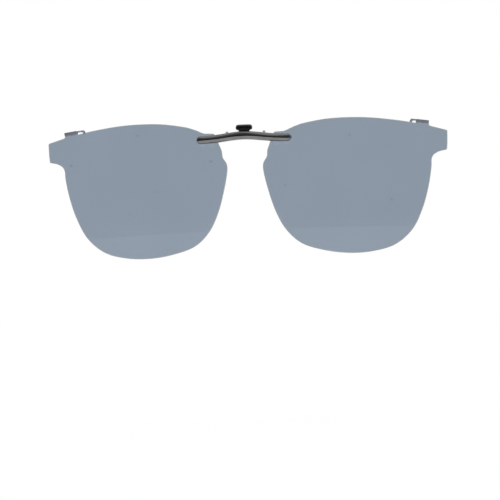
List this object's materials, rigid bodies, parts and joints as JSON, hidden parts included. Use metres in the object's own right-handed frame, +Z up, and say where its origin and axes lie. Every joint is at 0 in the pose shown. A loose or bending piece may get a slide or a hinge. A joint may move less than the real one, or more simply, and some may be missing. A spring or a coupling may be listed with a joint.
{
  "type": "clip on sunglasses",
  "caption": "Spring-bridge clip-on sunglass front: tinted lenses on sprung slides behind an arched bar, with sleeved wire hooks that grip a glasses frame.",
  "frame": {"origin": "on the rear face of the spring housing, in the plane of symmetry, where the clip rests against the bridge of the glasses", "axes": "+X to the right as seen from in front, +Y backwards to the wearer's face, +Z up"},
  "size_m": [0.1446, 0.0103, 0.0486],
  "materials": {
    "gunmetal": "polished gunmetal plating",
    "steel": "plain turned steel",
    "black_rubber": "satin moulded rubber",
    "clear_silicone": "clear soft silicone",
    "nylon": "natural nylon",
    "tinted_lens": "grey polarised plastic, polished edge"
  },
  "bodies": {
    "bridge": {"bridge_bar": "gunmetal", "left_standoff": "steel", "right_standoff": "steel", "spring_housing": "gunmetal", "left_end_cap": "gunmetal", "right_end_cap": "gunmetal", "left_spring": "steel", "right_spring": "steel", "grip_stem": "steel", "grip_knob": "black_rubber"},
    "left_slide": {"left_slide_rod": "steel", "left_lens_bracket": "gunmetal", "left_lens": "tinted_lens", "left_inner_screw": "steel", "left_inner_washer": "nylon", "left_inner_nut": "steel", "left_outer_screw": "steel", "left_outer_washer": "nylon", "left_outer_nut": "steel", "left_nasal_hook": "steel", "left_nasal_sleeve": "clear_silicone", "left_temporal_hook": "gunmetal", "left_temporal_sleeve": "clear_silicone"},
    "right_slide": {"right_slide_rod": "steel", "right_lens_bracket": "gunmetal", "right_lens": "tinted_lens", "right_inner_screw": "steel", "right_inner_washer": "nylon", "right_inner_nut": "steel", "right_outer_screw": "steel", "right_outer_washer": "nylon", "right_outer_nut": "steel", "right_nasal_hook": "steel", "right_nasal_sleeve": "clear_silicone", "right_temporal_hook": "gunmetal", "right_temporal_sleeve": "clear_silicone"}
  },
  "joints": [
    {"name": "left_lens_slide", "type": "slide", "parent": "bridge", "child": "left_slide", "axis": [-1, 0, 0], "range_m": [0, 0.004], "stiffness_N_per_m": 300, "springref_m": -0.003, "deforming": ["left_spring"]},
    {"name": "right_lens_slide", "type": "slide", "parent": "bridge", "child": "right_slide", "axis": [1, 0, 0], "range_m": [0, 0.004], "stiffness_N_per_m": 300, "springref_m": -0.003, "deforming": ["right_spring"]}
  ]
}
